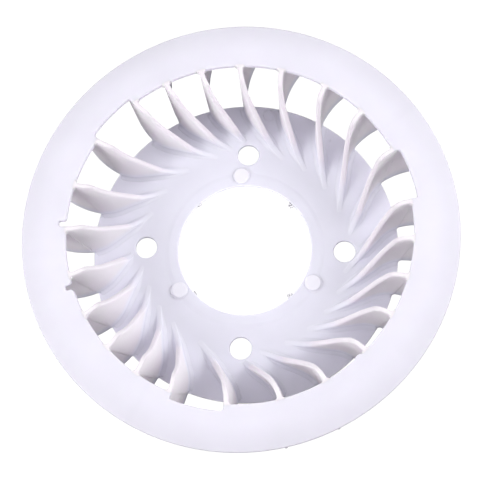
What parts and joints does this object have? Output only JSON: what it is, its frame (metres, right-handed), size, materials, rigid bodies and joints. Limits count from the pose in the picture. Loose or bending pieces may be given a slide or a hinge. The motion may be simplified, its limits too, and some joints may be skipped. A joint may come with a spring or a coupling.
{
  "type": "engine cooling fan wheel",
  "caption": "White moulded fan wheel that bolts to a small engine's flywheel: flat back plate with a large centre hole, curved vanes and a flat front ring.",
  "frame": {"origin": "middle of the centre hole on the rear face, the one that lies on the flywheel", "axes": "+Z along the wheel's axis from the rear face to the open front ring; the bolt holes lie on the X and Y axes"},
  "size_m": [0.2, 0.2, 0.0434],
  "materials": {
    "moulded_plastic": "satin off-white moulded nylon with a faint violet cast, slightly translucent",
    "broken_gate": "rough torn plastic where the mould's gates were broken off"
  },
  "bodies": {
    "root": {"back_plate": "moulded_plastic", "hub_seat": "moulded_plastic", "front_ring": "moulded_plastic", "cup_stud_1": "moulded_plastic", "cup_stud_2": "moulded_plastic", "cup_stud_3": "moulded_plastic", "gate_stub_1": "broken_gate", "gate_stub_2": "broken_gate", "gate_stub_3": "broken_gate", "gate_stub_4": "broken_gate", "vane_01": "moulded_plastic", "vane_02": "moulded_plastic", "vane_03": "moulded_plastic", "vane_04": "moulded_plastic", "vane_05": "moulded_plastic", "vane_06": "moulded_plastic", "vane_07": "moulded_plastic", "vane_08": "moulded_plastic", "vane_09": "moulded_plastic", "vane_10": "moulded_plastic", "vane_11": "moulded_plastic", "vane_12": "moulded_plastic", "vane_13": "moulded_plastic", "vane_14": "moulded_plastic", "vane_15": "moulded_plastic", "vane_16": "moulded_plastic", "vane_17": "moulded_plastic", "vane_18": "moulded_plastic", "vane_19": "moulded_plastic", "vane_20": "moulded_plastic", "vane_21": "moulded_plastic", "vane_22": "moulded_plastic", "vane_23": "moulded_plastic", "vane_24": "moulded_plastic"}
  },
  "joints": []
}
